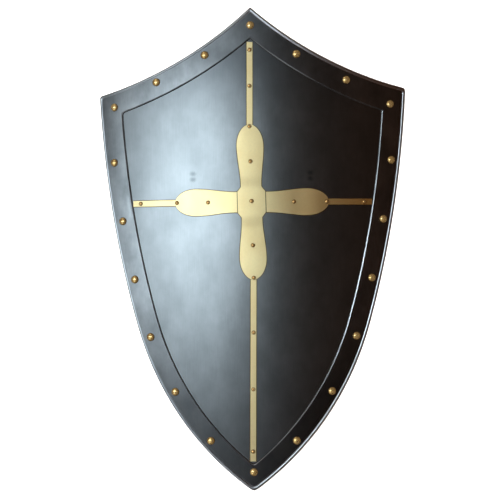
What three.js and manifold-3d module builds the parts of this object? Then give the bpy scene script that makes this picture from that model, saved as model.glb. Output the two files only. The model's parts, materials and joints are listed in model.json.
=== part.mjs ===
// Heater shield of curved sheet steel with a riveted border band, a lobed brass cross and a back grip.
// Millimetres. The shield lies face up: Z is up, Y runs from the toe to the top tip, X across.
// Sheets are drawn flat as (across, along, height) and then bent round the length of the shield.
import * as THREE from "three";
import { mergeVertices } from "three/addons/utils/BufferGeometryUtils.js";
import Module from "manifold-3d";

const wasm = await Module();
wasm.setup();

// Whole shield, measured on the flat pattern
const shieldLength = 711;
const bendRadius = 502;
const tipAlong = shieldLength / 2;
const toeAlong = -shieldLength / 2;
const shoulderAcross = 239;
const shoulderAlong = 236.5;
const shoulderSlip = 3.5;
const scoopRadius = 480;
const flankRadius = 1474;
const flankStart = THREE.MathUtils.degToRad(3.3);
const toeRadius = 466;
const tipRounding = 2;
const shoulderRounding = 4.5;
const toeRounding = 6;
const balanceAlong = 30;

// Sheets and the air between them
const steelThickness = 1.2;
const brassThickness = 0.8;
const sheetGap = 0.35;
const plateEdgeInset = 3.2;

// Border band with its rolled edge; the band is wider at the shoulders than at the tip, and narrower at the toe
const bandWidth = 34.5;
const bandWidening = { tip: 0, shoulder: 3.4, belly: -0.6, toe: -3.5 };
const rollRadius = 2.8;
const rollLipAngle = THREE.MathUtils.degToRad(300);
const rollSteps = 5;
const rollCentreHeight = -0.2;

// Brass cross; its upright plate leans a little to the left, as it was riveted on
const crossAlong = 69.3;
const uprightLean = THREE.MathUtils.degToRad(1.15);
const armReach = 114;
const armWidestAt = 82;
const armWidestHalf = 20.5;
const armWaistAt = 24;
const armWaistHalf = 16;
const armTipAngle = THREE.MathUtils.degToRad(12);
const blockHalf = 21.3;
const blockChamferStart = 15.5;
const blockChamferEnd = 22.5;
const armTipRiveted = 111;
const centreRivetUp = 1.4;
const armRivetedUp = 59.5;
const armRivetedDown = 63.3;
const armRivetedRight = 62;
const armRivetedLeft = 64.3;

// The arms lie on the plate over this stretch, and rise from it over what they cross on both sides
const armLiesFrom = 40;
const armLiesTo = 66;
const riseClearance = 3;

// Brass straps from the arms of the cross to the band
const strapHalf = 5.2;
const strapUnderArm = 10;
const strapToBand = 0.8;
const strapEndAcross = -1;

// Rivets of the straps: the last one from the strap's end, the others as shares of the way to it
const topStrapRivets = { fromEnd: 11.6, between: [0.529] };
const toeStrapRivets = { fromEnd: 14.5, between: [0.315, 0.642] };
const sideStrapRivets = { fromEnd: 12.5, between: [] };

// Rivets, each in a bore with a little air round its shank
const bandRivet = { radius: 6, height: 4.2, shank: 2.2, back: 4.6, backHeight: 1.6, sides: 8, rings: 3 };
const crossRivet = { radius: 3.1, height: 2.1, shank: 1.3, back: 2.6, backHeight: 1.1, sides: 8, rings: 2 };
const seatGap = 0.3;
const boreClearance = 0.25;
const boreLength = 16;
const boreSides = 6;
const backHeadFlat = 0.8;
const scoopRivetSteps = 3;
const sideRivetSteps = 7;
const toeRivetStep = 0.9;
const rivetLineSteps = 24;
const rivetLineInset = 15.3;
const tipRivetInset = 27;
const toeRivetInset = 29;
const shoulderRivetInset = 27;
const shoulderRivetBelow = 21.5;

// Grip on the back, a bent flat bar
const gripAlong = 107;
const gripHalfSpan = 87;
const gripDrop = 42;
const gripWidth = 18;
const gripThickness = 5;
const gripBend = 13;
const gripChamfer = 1.2;

// How finely the curves are cut into flat faces
const scoopSteps = 11;
const flankSteps = 8;
const toeSteps = 9;
const cornerSteps = 4;
const armRoundSteps = 7;
const armWaistSteps = 4;
const armMiddleSteps = 3;
const sideStrapSteps = 4;
const gripBendSteps = 6;
const weldDistance = 1e-4;

const steel = new THREE.MeshStandardMaterial({ color: 0xa7b2bb, metalness: 1, roughness: 0.34 });
const bandSteel = new THREE.MeshStandardMaterial({ color: 0x98a1aa, metalness: 1, roughness: 0.38 });
const brass = new THREE.MeshStandardMaterial({ color: 0xd8c47c, metalness: 1, roughness: 0.32 });
const plainSteel = new THREE.MeshStandardMaterial({ color: 0x7c8389, metalness: 1, roughness: 0.5 });

// Bends a flat place onto the curved shield
function bent(across, along, height) {
  const angle = across / bendRadius;
  const radius = bendRadius + height;
  return new THREE.Vector3(radius * Math.sin(angle), along, radius * Math.cos(angle) - bendRadius);
}

// Frame on the face whose Z stands square to the sheet
function seatedAt(across, along) {
  const turn = new THREE.Matrix4().makeRotationY(across / bendRadius);
  return turn.setPosition(bent(across, along, 0));
}

function spread(from, to, steps) {
  return Array.from({ length: steps + 1 }, (_, i) => from + ((to - from) * i) / steps);
}

// Centre of a circle through two places, lying to the left of the way from the first to the second
function centreThrough(from, to, radius) {
  const chord = to.clone().sub(from);
  const leftward = new THREE.Vector2(-chord.y, chord.x).normalize();
  const rise = Math.sqrt(radius ** 2 - chord.lengthSq() / 4);
  return from.clone().add(to).multiplyScalar(0.5).addScaledVector(leftward, rise);
}

// Where two circles meet, on the left of the way from the first centre to the second
function circlesMeet(first, firstRadius, second, secondRadius) {
  const between = second.clone().sub(first);
  const span = between.length();
  const forward = (span ** 2 + firstRadius ** 2 - secondRadius ** 2) / (2 * span);
  const aside = Math.sqrt(firstRadius ** 2 - forward ** 2);
  const unit = between.divideScalar(span);
  const leftward = new THREE.Vector2(-unit.y, unit.x);
  return first.clone().addScaledVector(unit, forward).addScaledVector(leftward, aside);
}

// The two circles of one side: the long flank, and the tighter curve that runs on from it to the toe
const flankCentre = new THREE.Vector2(
  shoulderAcross - flankRadius * Math.cos(flankStart),
  shoulderAlong + flankRadius * Math.sin(flankStart),
);
const toePlace = new THREE.Vector2(0, toeAlong);
const toeCentre = circlesMeet(flankCentre, flankRadius - toeRadius, toePlace, toeRadius);
const joinDirection = toeCentre.clone().sub(flankCentre).normalize();

// The scooped top edge; the left shoulder of the outer edge sits lower than the right one
function scoopCentre(side, inset) {
  const slip = side * shoulderSlip * (1 - inset / bandWidth);
  const tip = new THREE.Vector2(0, tipAlong);
  const shoulder = new THREE.Vector2(shoulderAcross, shoulderAlong + slip);
  return centreThrough(tip, shoulder, scoopRadius);
}

// How far in a line of the band lies beside a corner; past the rolled edge it follows the band's width
function insetBeside(corner, inset) {
  const share = Math.max(0, (inset - 2 * rollRadius) / (bandWidth - 2 * rollRadius));
  return inset + bandWidening[corner] * share;
}

// Place along the shield of the scooped edge, this far in and this far across
function scoopAlong(side, inset, across) {
  const centre = scoopCentre(side, inset);
  return centre.y - Math.sqrt((scoopRadius + inset) ** 2 - (across - centre.x) ** 2);
}

// Place along the shield of the lower edge near the toe, this far in and this far across
function lowerAlong(inset, across) {
  return toeCentre.y - Math.sqrt((toeRadius - inset) ** 2 - (across - toeCentre.x) ** 2);
}

// Corners of one half of the outline, drawn this far in from the edge, and the centre of its scoop
function halfOutline(side, inset) {
  const scoop = scoopCentre(side, inset);
  const shoulderInset = insetBeside("shoulder", inset);
  return {
    scoop,
    tip: new THREE.Vector2(0, scoopAlong(side, insetBeside("tip", inset), 0)),
    shoulder: circlesMeet(scoop, scoopRadius + shoulderInset, flankCentre, flankRadius - shoulderInset),
    belly: flankCentre.clone().addScaledVector(joinDirection, flankRadius - insetBeside("belly", inset)),
    toe: new THREE.Vector2(0, lowerAlong(insetBeside("toe", inset), 0)),
  };
}

// Places round a centre, the radius changing evenly from the first place to the last, with a little left off
// each end for a rounded corner
function arcPlaces(centre, from, to, steps, cutFrom, cutTo) {
  const start = from.clone().sub(centre);
  const end = to.clone().sub(centre);
  let sweep = end.angle() - start.angle();
  if (sweep > Math.PI) sweep -= 2 * Math.PI;
  if (sweep < -Math.PI) sweep += 2 * Math.PI;
  const length = Math.abs(sweep) * start.length();
  return spread(cutFrom / length, 1 - cutTo / length, steps).map((part) => {
    const angle = start.angle() + sweep * part;
    const radius = THREE.MathUtils.lerp(start.length(), end.length(), part);
    return new THREE.Vector2(centre.x + radius * Math.cos(angle), centre.y + radius * Math.sin(angle));
  });
}

// Places on a rounded corner, between the two ends that were left off
function cornerPlaces(before, corner, after, steps) {
  const curve = new THREE.QuadraticBezierCurve(before, corner, after);
  return curve.getPoints(steps).slice(1, -1);
}

// One half from just beside the tip to just beside the toe, on the positive side
function halfPlaces(side, inset) {
  const half = halfOutline(side, inset);
  const top = arcPlaces(half.scoop, half.tip, half.shoulder, scoopSteps, tipRounding, shoulderRounding);
  const flank = arcPlaces(flankCentre, half.shoulder, half.belly, flankSteps, shoulderRounding, 0);
  const lower = arcPlaces(toeCentre, half.belly, half.toe, toeSteps, 0, toeRounding).slice(1);
  const corner = cornerPlaces(top[scoopSteps], half.shoulder, flank[0], cornerSteps);
  return [...top, ...corner, ...flank, ...lower];
}

// The whole edge as a closed run: down the right side, round the toe, up the left side, round the tip
function edgeLoop(inset) {
  const right = halfPlaces(1, inset);
  const left = halfPlaces(-1, inset).map((place) => new THREE.Vector2(-place.x, place.y));
  const half = halfOutline(1, inset);
  const toe = cornerPlaces(right[right.length - 1], half.toe, left[left.length - 1], cornerSteps);
  const tip = cornerPlaces(left[0], half.tip, right[0], cornerSteps);
  return [...right, ...toe, ...left.reverse(), ...tip];
}

// How far across the line at this inset runs, level with a place along the flank
function flankAcross(inset, along) {
  const places = halfPlaces(1, inset).slice(scoopSteps + 1);
  const after = places.findIndex((place) => place.y < along);
  const [above, below] = [places[after - 1], places[after]];
  return THREE.MathUtils.mapLinear(along, above.y, below.y, above.x, below.x);
}

// Skins a run of rings of places into one closed body
function loft(rings, closed) {
  const count = rings[0].length;
  const positions = rings.flat().flatMap((place) => place.toArray());
  const index = [];
  const spans = closed ? rings.length : rings.length - 1;
  for (let i = 0; i < spans; i++) {
    const here = i * count;
    const next = ((i + 1) % rings.length) * count;
    for (let j = 0; j < count; j++) {
      const k = (j + 1) % count;
      index.push(here + j, next + j, next + k);
      index.push(here + j, next + k, here + k);
    }
  }
  if (!closed) {
    const last = (rings.length - 1) * count;
    for (let j = 1; j < count - 1; j++) {
      index.push(0, j, j + 1);
      index.push(last, last + j + 1, last + j);
    }
  }
  const geometry = new THREE.BufferGeometry();
  geometry.setAttribute("position", new THREE.Float32BufferAttribute(positions, 3));
  geometry.setIndex(index);
  return facingOut(geometry);
}

// Turns a closed body the right way out
function facingOut(geometry) {
  const index = geometry.getIndex();
  const position = geometry.getAttribute("position");
  const corners = [new THREE.Vector3(), new THREE.Vector3(), new THREE.Vector3()];
  let volume = 0;
  for (let i = 0; i < index.count; i += 3) {
    corners.forEach((corner, j) => corner.fromBufferAttribute(position, index.getX(i + j)));
    volume += corners[0].dot(corners[1].clone().cross(corners[2]));
  }
  if (volume < 0) {
    const turned = Array.from(index.array).reverse();
    geometry.setIndex(turned);
  }
  return geometry;
}

// Joins the doubled corners of a turned body, before it is moved to its place
function welded(geometry) {
  geometry.deleteAttribute("normal");
  geometry.deleteAttribute("uv");
  return mergeVertices(geometry, weldDistance);
}

function toManifold(geometry) {
  const mesh = new wasm.Mesh({
    numProp: 3,
    vertProperties: Float32Array.from(geometry.getAttribute("position").array),
    triVerts: Uint32Array.from(geometry.getIndex().array),
  });
  return new wasm.Manifold(mesh);
}

function toGeometry(manifold) {
  const mesh = manifold.getMesh();
  const geometry = new THREE.BufferGeometry();
  const places = Array.from({ length: mesh.numVert }, (_, i) => i * mesh.numProp);
  const positions = places.flatMap((at) => Array.from(mesh.vertProperties.slice(at, at + 3)));
  geometry.setAttribute("position", new THREE.Float32BufferAttribute(positions, 3));
  geometry.setIndex(Array.from(mesh.triVerts));
  return geometry;
}

// A hole square to the sheet for the shank of a rivet
function boreFor(rivet, at) {
  const radius = (rivet.shank + boreClearance) / Math.cos(Math.PI / boreSides);
  const geometry = welded(new THREE.CylinderGeometry(radius, radius, boreLength, boreSides));
  geometry.rotateX(Math.PI / 2);
  geometry.applyMatrix4(seatedAt(at.across, at.along));
  return toManifold(geometry);
}

function drilled(geometry, rivet, places) {
  let body = toManifold(geometry);
  for (const at of places) {
    body = body.subtract(boreFor(rivet, at));
  }
  return toGeometry(body);
}

function named(name, geometry, material) {
  geometry.computeVertexNormals();
  const mesh = new THREE.Mesh(geometry, material);
  mesh.name = name;
  return mesh;
}

// A rivet's place on the flat pattern, and the height of the sheet under its head
function seatOf(place, seat) {
  return { across: place.x, along: place.y, seat };
}

// Rivet with a domed head on the face, a shank through the sheets and a flattened head on the back
function rivetBody(rivet, seat) {
  const backSeat = -steelThickness - seatGap;
  const top = seat + seatGap;
  const dome = spread(0, Math.PI / 2, rivet.rings).map(
    (angle) => new THREE.Vector2(rivet.radius * Math.cos(angle), top + rivet.height * Math.sin(angle)),
  );
  dome[rivet.rings].x = 0;
  const profile = [
    new THREE.Vector2(0, backSeat - rivet.backHeight),
    new THREE.Vector2(rivet.back * backHeadFlat, backSeat - rivet.backHeight),
    new THREE.Vector2(rivet.back, backSeat),
    new THREE.Vector2(rivet.shank, backSeat),
    new THREE.Vector2(rivet.shank, top),
    ...dome,
  ];
  const geometry = welded(new THREE.LatheGeometry(profile, rivet.sides));
  geometry.rotateX(Math.PI / 2);
  return facingOut(geometry);
}

function rivetRow(prefix, rivet, places) {
  const group = new THREE.Group();
  group.name = `${prefix}_rivets`;
  places.forEach((at, i) => {
    const number = String(i + 1).padStart(2, "0");
    const mesh = named(`${prefix}_rivet_${number}`, rivetBody(rivet, at.seat), brass);
    mesh.applyMatrix4(seatedAt(at.across, at.along));
    group.add(mesh);
  });
  return group;
}

// Places that part a run of points into steps, without the two ends of the run; the steps are equal but for
// the last one, which is this share of the others
function partedEvenly(places, steps, lastStep) {
  const lengths = [0];
  for (let i = 1; i < places.length; i++) {
    lengths.push(lengths[i - 1] + places[i].distanceTo(places[i - 1]));
  }
  const step = lengths[places.length - 1] / (steps - 1 + lastStep);
  return spread(step, step * (steps - 1), steps - 2).map((goal) => {
    const next = lengths.findIndex((length) => length > goal);
    const share = (goal - lengths[next - 1]) / (lengths[next] - lengths[next - 1]);
    return places[next - 1].clone().lerp(places[next], share);
  });
}

// Rivets of the band: evenly spaced along it between the tip and the shoulders, and down to the toe
function bandRivetPlaces() {
  const line = halfOutline(1, rivetLineInset);
  const tip = new THREE.Vector2(0, tipAlong - tipRivetInset);
  const toe = new THREE.Vector2(0, toeAlong + toeRivetInset);
  const shoulder = new THREE.Vector2(shoulderAcross - shoulderRivetInset, shoulderAlong - shoulderRivetBelow);
  const scoop = arcPlaces(line.scoop, line.tip, line.shoulder, rivetLineSteps, 0, 0);
  const flank = arcPlaces(flankCentre, line.shoulder, line.belly, rivetLineSteps, 0, 0);
  const lower = arcPlaces(toeCentre, line.belly, line.toe, rivetLineSteps, 0, 0).slice(1);
  const side = [...flank, ...lower].filter((place) => place.y < shoulder.y && place.y > toe.y);
  const topRun = partedEvenly(scoop, scoopRivetSteps, 1);
  const sideRun = partedEvenly([shoulder, ...side, toe], sideRivetSteps, toeRivetStep);
  const right = [...topRun, shoulder, ...sideRun];
  const left = right.map((place) => new THREE.Vector2(-place.x, place.y)).reverse();
  return [tip, ...right, toe, ...left].map((place) => seatOf(place, sheetGap + steelThickness));
}

// Face plate: one strip of sheet for each step across, bounded by the top and bottom edges
function facePlate(bandPlaces, crossPlaces) {
  const right = halfPlaces(1, plateEdgeInset).slice(scoopSteps + 1);
  const left = halfPlaces(-1, plateEdgeInset).slice(scoopSteps + 1);
  const rung = (across, low, high) => [
    bent(across, low, -steelThickness),
    bent(across, high, -steelThickness),
    bent(across, high, 0),
    bent(across, low, 0),
  ];
  const strip = (side, place) => rung(side * place.x, place.y, scoopAlong(side, plateEdgeInset, place.x));
  const outermost = (places) => places.filter((place, i) => i >= cornerSteps - 1);
  const sharp = halfOutline(1, plateEdgeInset);
  const roundedToe = (sharp.toe.y + right[right.length - 1].y) / 2;
  const middle = rung(0, roundedToe, sharp.tip.y);
  const rightStrips = outermost(right).map((place) => strip(1, place));
  const leftStrips = outermost(left).map((place) => strip(-1, place)).reverse();
  const sheet = loft([...rightStrips, middle, ...leftStrips], false);
  const forBand = toManifold(drilled(sheet, bandRivet, bandPlaces));
  return named("face_plate", drilled(toGeometry(forBand), crossRivet, crossPlaces), steel);
}

// Border band: its section carried round the edge, with the outer edge rolled over that of the plate
function borderBand(places) {
  const low = sheetGap;
  const high = sheetGap + steelThickness;
  const innerRoll = rollRadius - steelThickness;
  const topAngle = Math.asin((high - rollCentreHeight) / rollRadius);
  const underAngle = Math.asin((low - rollCentreHeight) / innerRoll);
  const onRoll = (radius, angle) => [
    rollRadius + radius * Math.cos(angle),
    rollCentreHeight + radius * Math.sin(angle),
  ];
  const outside = spread(topAngle, rollLipAngle, rollSteps).map((angle) => onRoll(rollRadius, angle));
  const inside = spread(rollLipAngle, underAngle, rollSteps - 2).map((angle) => onRoll(innerRoll, angle));
  const middle = (bandWidth + plateEdgeInset) / 2;
  const section = [[bandWidth, low], [bandWidth, high], [middle, high], ...outside, ...inside, [middle, low]];
  const loops = section.map(([inset]) => edgeLoop(inset));
  const rings = loops[0].map((_, i) =>
    section.map(([, height], j) => bent(loops[j][i].x, loops[j][i].y, height)),
  );
  return named("border_band", drilled(loft(rings, true), bandRivet, places), bandSteel);
}

// How far a value has come on its way from one value to another, from none to all of it
function shareOf(value, from, to) {
  return THREE.MathUtils.clamp((value - from) / (to - from), 0, 1);
}

// Half width of an arm of the cross this far from its centre
function armHalf(reach) {
  if (reach < armWidestAt) {
    const part = shareOf(reach, armWaistAt, armWidestAt);
    return armWaistHalf + ((armWidestHalf - armWaistHalf) * (1 - Math.cos(Math.PI * part))) / 2;
  }
  return armWidestHalf * Math.sqrt(1 - shareOf(reach, armWidestAt, armReach) ** 2);
}

const stepHigh = sheetGap + brassThickness;
const overStrapFrom = armReach - strapUnderArm - riseClearance;
const overPlateTo = armWaistHalf + riseClearance;

// An arm rises evenly from the plate, to pass over the end of the strap under its tip
function armRise(reach) {
  return stepHigh * shareOf(reach, armLiesTo, overStrapFrom);
}

function armStations() {
  const round = spread(armTipAngle, Math.PI / 2, armRoundSteps).map(
    (angle) => armWidestAt + (armReach - armWidestAt) * Math.cos(angle),
  );
  const waist = spread(armWidestAt, armWaistAt, armWaistSteps).slice(1);
  return [...round, overStrapFrom, armLiesTo, ...waist].sort((a, b) => b - a);
}

const levelWay = new THREE.Vector2(1, 0);
const uprightWay = new THREE.Vector2(0, 1).rotateAround(new THREE.Vector2(), uprightLean);

// Place this far out from the middle of the cross, the way an arm runs
function alongArm(way, reach) {
  return new THREE.Vector2(0, crossAlong).addScaledVector(way, reach);
}

// Ring round a brass sheet at a place, square to the way the sheet runs
function sheetRing(place, way, half, low, steps) {
  const rightward = new THREE.Vector2(way.y, -way.x);
  const edges = spread(-half, half, steps).map((aside) => place.clone().addScaledVector(rightward, aside));
  const under = edges.map((edge) => bent(edge.x, edge.y, low));
  const over = edges.map((edge) => bent(edge.x, edge.y, low + brassThickness)).reverse();
  return [...under, ...over];
}

// Level plate of the cross, bent round the shield and lying against it
function levelPlate(places) {
  const reaches = armStations();
  const middle = spread(armWaistAt, -armWaistAt, armMiddleSteps).slice(1, -1);
  const stations = [...reaches, ...middle, ...reaches.map((reach) => -reach).reverse()];
  const rings = stations.map((reach) => {
    const low = sheetGap + armRise(Math.abs(reach));
    return sheetRing(alongArm(levelWay, reach), levelWay, armHalf(Math.abs(reach)), low, 1);
  });
  return named("cross_level_plate", drilled(loft(rings, false), crossRivet, places), brass);
}

// Upright plate of the cross, with a wider chamfered block that passes over the level plate
function uprightPlate(places) {
  const half = [...armStations(), armLiesFrom, blockChamferEnd, overPlateTo, blockChamferStart];
  const reaches = half.sort((a, b) => b - a);
  const widthAt = (reach) => {
    const share = shareOf(reach, blockChamferStart, blockChamferEnd);
    return share < 1 ? THREE.MathUtils.lerp(blockHalf, armWaistHalf, share) : armHalf(reach);
  };
  const riseAt = (reach) => {
    const overPlate = stepHigh * (1 - shareOf(reach, overPlateTo, armLiesFrom));
    return Math.max(armRise(reach), overPlate);
  };
  const rings = [...reaches, ...reaches.map((reach) => -reach).reverse()].map((reach) => {
    const low = sheetGap + riseAt(Math.abs(reach));
    return sheetRing(alongArm(uprightWay, reach), uprightWay, widthAt(Math.abs(reach)), low, 2);
  });
  return named("cross_upright_plate", drilled(loft(rings, false), crossRivet, places), brass);
}

// The lines of the four straps, each from its start under an arm to its end by the band
function strapLines() {
  const start = armReach - strapUnderArm;
  const farCorner = strapHalf + Math.abs(strapEndAcross);
  const topEnd = scoopAlong(1, insetBeside("tip", bandWidth), farCorner) - strapToBand;
  const toeEnd = lowerAlong(insetBeside("toe", bandWidth), farCorner) + strapToBand;
  const sideEnd = flankAcross(bandWidth, crossAlong - strapHalf) - strapToBand;
  return {
    top: { from: alongArm(uprightWay, start), to: new THREE.Vector2(strapEndAcross, topEnd) },
    toe: { from: alongArm(uprightWay, -start), to: new THREE.Vector2(strapEndAcross, toeEnd) },
    right: { from: alongArm(levelWay, start), to: new THREE.Vector2(sideEnd, crossAlong) },
    left: { from: alongArm(levelWay, -start), to: new THREE.Vector2(-sideEnd, crossAlong) },
  };
}

function strap(name, line, steps, places) {
  const way = line.to.clone().sub(line.from).normalize();
  const rings = spread(0, 1, steps).map((share) =>
    sheetRing(line.from.clone().lerp(line.to, share), way, strapHalf, sheetGap, 1),
  );
  return named(name, drilled(loft(rings, false), crossRivet, places), brass);
}

// Grip: a flat bar bent to a bracket, its ends square to the back of the plate
function backGrip() {
  const start = bent(gripHalfSpan, gripAlong, -steelThickness - sheetGap);
  const lean = gripHalfSpan / bendRadius;
  const down = new THREE.Vector2(-Math.sin(lean), -Math.cos(lean));
  const bar = -gripDrop + gripThickness / 2;
  const reach = (start.z - bar) / -down.y;
  const knee = new THREE.Vector2(start.x + down.x * reach, bar);
  const bendFrom = knee.clone().addScaledVector(down, -gripBend);
  const bendTo = knee.clone().add(new THREE.Vector2(-gripBend, 0));
  const bend = new THREE.QuadraticBezierCurve(bendFrom, knee, bendTo).getPoints(gripBendSteps);
  const right = [new THREE.Vector2(start.x, start.z), ...bend];
  const left = right.map((place) => new THREE.Vector2(-place.x, place.y)).reverse();
  const path = [...right, ...left];
  const wide = gripWidth / 2;
  const thick = gripThickness / 2;
  const section = [
    [-wide, -thick + gripChamfer], [-wide + gripChamfer, -thick],
    [wide - gripChamfer, -thick], [wide, -thick + gripChamfer],
    [wide, thick - gripChamfer], [wide - gripChamfer, thick],
    [-wide + gripChamfer, thick], [-wide, thick - gripChamfer],
  ];
  const rings = path.map((place, i) => {
    const before = path[Math.max(0, i - 1)];
    const after = path[Math.min(path.length - 1, i + 1)];
    const way = after.clone().sub(before).normalize();
    return section.map(([along, out]) => {
      const x = place.x - way.y * out;
      const z = place.y + way.x * out;
      return new THREE.Vector3(x, gripAlong + along, z);
    });
  });
  return named("back_grip", loft(rings, false), plainSteel);
}

// Rivets along a strap: one near its end, and some between that one and the rivet at the arm's tip
function strapRivets(line, tipRivet, rivets) {
  const way = line.to.clone().sub(line.from).normalize();
  const last = line.to.clone().addScaledVector(way, -rivets.fromEnd);
  return [...rivets.between.map((share) => tipRivet.clone().lerp(last, share)), last];
}

// Rivets of the cross and its straps, each on top of the sheets it holds
function crossRivetPlaces(lines) {
  const one = sheetGap + brassThickness;
  const two = 2 * one;
  const on = (way, reach, seat) => seatOf(alongArm(way, reach), seat);
  const alongStrap = (line, way, tip, rivets) =>
    strapRivets(line, alongArm(way, tip), rivets).map((place) => seatOf(place, one));
  return {
    centre: [on(uprightWay, centreRivetUp, two)],
    uprightArms: [on(uprightWay, armRivetedUp, one), on(uprightWay, -armRivetedDown, one)],
    levelArms: [on(levelWay, armRivetedRight, one), on(levelWay, -armRivetedLeft, one)],
    topTip: [on(uprightWay, armTipRiveted, two)],
    toeTip: [on(uprightWay, -armTipRiveted, two)],
    rightTip: [on(levelWay, armTipRiveted, two)],
    leftTip: [on(levelWay, -armTipRiveted, two)],
    topStrap: alongStrap(lines.top, uprightWay, armTipRiveted, topStrapRivets),
    toeStrap: alongStrap(lines.toe, uprightWay, -armTipRiveted, toeStrapRivets),
    rightStrap: alongStrap(lines.right, levelWay, armTipRiveted, sideStrapRivets),
    leftStrap: alongStrap(lines.left, levelWay, -armTipRiveted, sideStrapRivets),
  };
}

function buildShield() {
  const lines = strapLines();
  const band = bandRivetPlaces();
  const cross = crossRivetPlaces(lines);
  const all = Object.values(cross).flat();
  const steelwork = new THREE.Group();
  steelwork.name = "steelwork";
  steelwork.add(facePlate(band, all), borderBand(band), backGrip());
  const brasswork = new THREE.Group();
  brasswork.name = "brasswork";
  brasswork.add(
    levelPlate([...cross.centre, ...cross.levelArms, ...cross.leftTip, ...cross.rightTip]),
    uprightPlate([...cross.centre, ...cross.uprightArms, ...cross.topTip, ...cross.toeTip]),
    strap("strap_top", lines.top, 1, [...cross.topTip, ...cross.topStrap]),
    strap("strap_toe", lines.toe, 1, [...cross.toeTip, ...cross.toeStrap]),
    strap("strap_right", lines.right, sideStrapSteps, [...cross.rightTip, ...cross.rightStrap]),
    strap("strap_left", lines.left, sideStrapSteps, [...cross.leftTip, ...cross.leftStrap]),
  );
  const body = new THREE.Group();
  body.name = "shield_body";
  body.add(steelwork, brasswork, rivetRow("band", bandRivet, band), rivetRow("cross", crossRivet, all));
  return body;
}

// The lying shield rocks on its two side edges; this levels the pair of edge steps under its balance
function restingPitch() {
  const lowest = rollCentreHeight - rollRadius;
  const edge = halfPlaces(1, rollRadius).slice(scoopSteps + cornerSteps);
  const after = edge.findIndex((place) => place.y < balanceAlong);
  const [upper, lower] = [edge[after - 1], edge[after]].map((place) => bent(place.x, place.y, lowest));
  return Math.atan2(lower.z - upper.z, upper.y - lower.y);
}

const shield = new THREE.Group();
shield.name = "heater_shield";
const body = buildShield();
body.rotation.x = restingPitch();
shield.add(body);
shield.updateMatrixWorld(true);
const box = new THREE.Box3().setFromObject(shield, true);
body.position.set(-(box.min.x + box.max.x) / 2, -(box.min.y + box.max.y) / 2, -box.min.z);

export default shield;
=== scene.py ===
"""Heater shield of brushed steel with a lobed brass cross, lying face up on a pale floor."""

import json
import math

import bmesh
import bpy
from mathutils import Matrix, Vector, noise


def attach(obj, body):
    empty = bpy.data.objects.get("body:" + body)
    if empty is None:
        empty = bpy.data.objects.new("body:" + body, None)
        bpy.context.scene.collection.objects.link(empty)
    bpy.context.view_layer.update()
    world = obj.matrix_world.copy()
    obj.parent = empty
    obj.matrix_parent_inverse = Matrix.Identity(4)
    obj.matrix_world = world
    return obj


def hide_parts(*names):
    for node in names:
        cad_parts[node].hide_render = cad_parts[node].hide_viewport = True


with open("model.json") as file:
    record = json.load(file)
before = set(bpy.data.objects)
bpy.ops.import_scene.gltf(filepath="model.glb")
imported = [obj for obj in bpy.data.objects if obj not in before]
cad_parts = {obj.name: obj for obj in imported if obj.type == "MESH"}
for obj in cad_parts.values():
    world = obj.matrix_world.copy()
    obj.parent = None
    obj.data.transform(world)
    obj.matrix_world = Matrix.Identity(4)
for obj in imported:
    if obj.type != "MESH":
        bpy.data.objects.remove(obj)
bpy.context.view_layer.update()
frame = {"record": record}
MM = 0.001

# Sizes of the shield, in metres, measured on the flat pattern as in the part's source
SHIELD_LENGTH = 0.711
BEND_RADIUS = 0.502
TIP_ALONG = SHIELD_LENGTH / 2
TOE_ALONG = -SHIELD_LENGTH / 2
SHOULDER_ACROSS = 0.239
SHOULDER_ALONG = 0.2365
SHOULDER_SLIP = 0.0035
SCOOP_RADIUS = 0.480
FLANK_RADIUS = 1.474
FLANK_START = math.radians(3.3)
TOE_RADIUS = 0.466
TIP_ROUNDING = 0.002
SHOULDER_ROUNDING = 0.0045
TOE_ROUNDING = 0.006

STEEL = 0.0012
BRASS = 0.0008
GAP = 0.00035
PLATE_INSET = 0.0032
BAND_WIDTH = 0.0345
BAND_WIDENING = {"tip": 0.0, "shoulder": 0.0034, "belly": -0.0006, "toe": -0.0035}
ROLL_RADIUS = 0.0028
ROLL_CENTRE = -0.0002
ROLL_LIP = math.radians(300)
BAND_GROUND = 0.0011
BAND_FOOT = 0.0003
BAND_FLAT_TO_INNER = 0.0026
BAND_FLAT_TO_OUTER = 0.0058
BAND_UNDER_TO_INNER = 0.002
BAND_UNDER_TO_OUTER = 0.0065
INNER_EDGE_POINTS = 4
BAND_FLAT_STEPS = 12
ROLL_OUTER_STEPS = 22
ROLL_INNER_STEPS = 12
BAND_UNDER_STEPS = 5

CROSS_ALONG = 0.0693
UPRIGHT_LEAN = math.radians(1.15)
ARM_REACH = 0.114
ARM_WIDEST_AT = 0.082
ARM_WIDEST_HALF = 0.0205
ARM_WAIST_AT = 0.024
ARM_WAIST_HALF = 0.016
ARM_TIP_ANGLE = math.radians(5)
BLOCK_HALF = 0.0213
CHAMFER_START = 0.0155
CHAMFER_END = 0.0225
ARM_TIP_RIVETED = 0.111
CENTRE_RIVET_UP = 0.0014
ARM_RIVETED_UP = 0.0595
ARM_RIVETED_DOWN = 0.0633
ARM_RIVETED_RIGHT = 0.062
ARM_RIVETED_LEFT = 0.0643
ARM_LIES_FROM = 0.040
ARM_LIES_TO = 0.066
RISE_CLEARANCE = 0.003
BRASS_FILED = 0.0006
BRASS_RIM = 0.0007
FILED_FROM = 0.3

STRAP_HALF = 0.0052
STRAP_UNDER_ARM = 0.010
STRAP_TO_BAND = 0.0008
STRAP_END_ACROSS = -0.001
STRAP_STEPS = 24
TOP_STRAP_RIVETS = (0.0116, (0.529,))
TOE_STRAP_RIVETS = (0.0145, (0.315, 0.642))
SIDE_STRAP_RIVETS = (0.0125, ())

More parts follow.
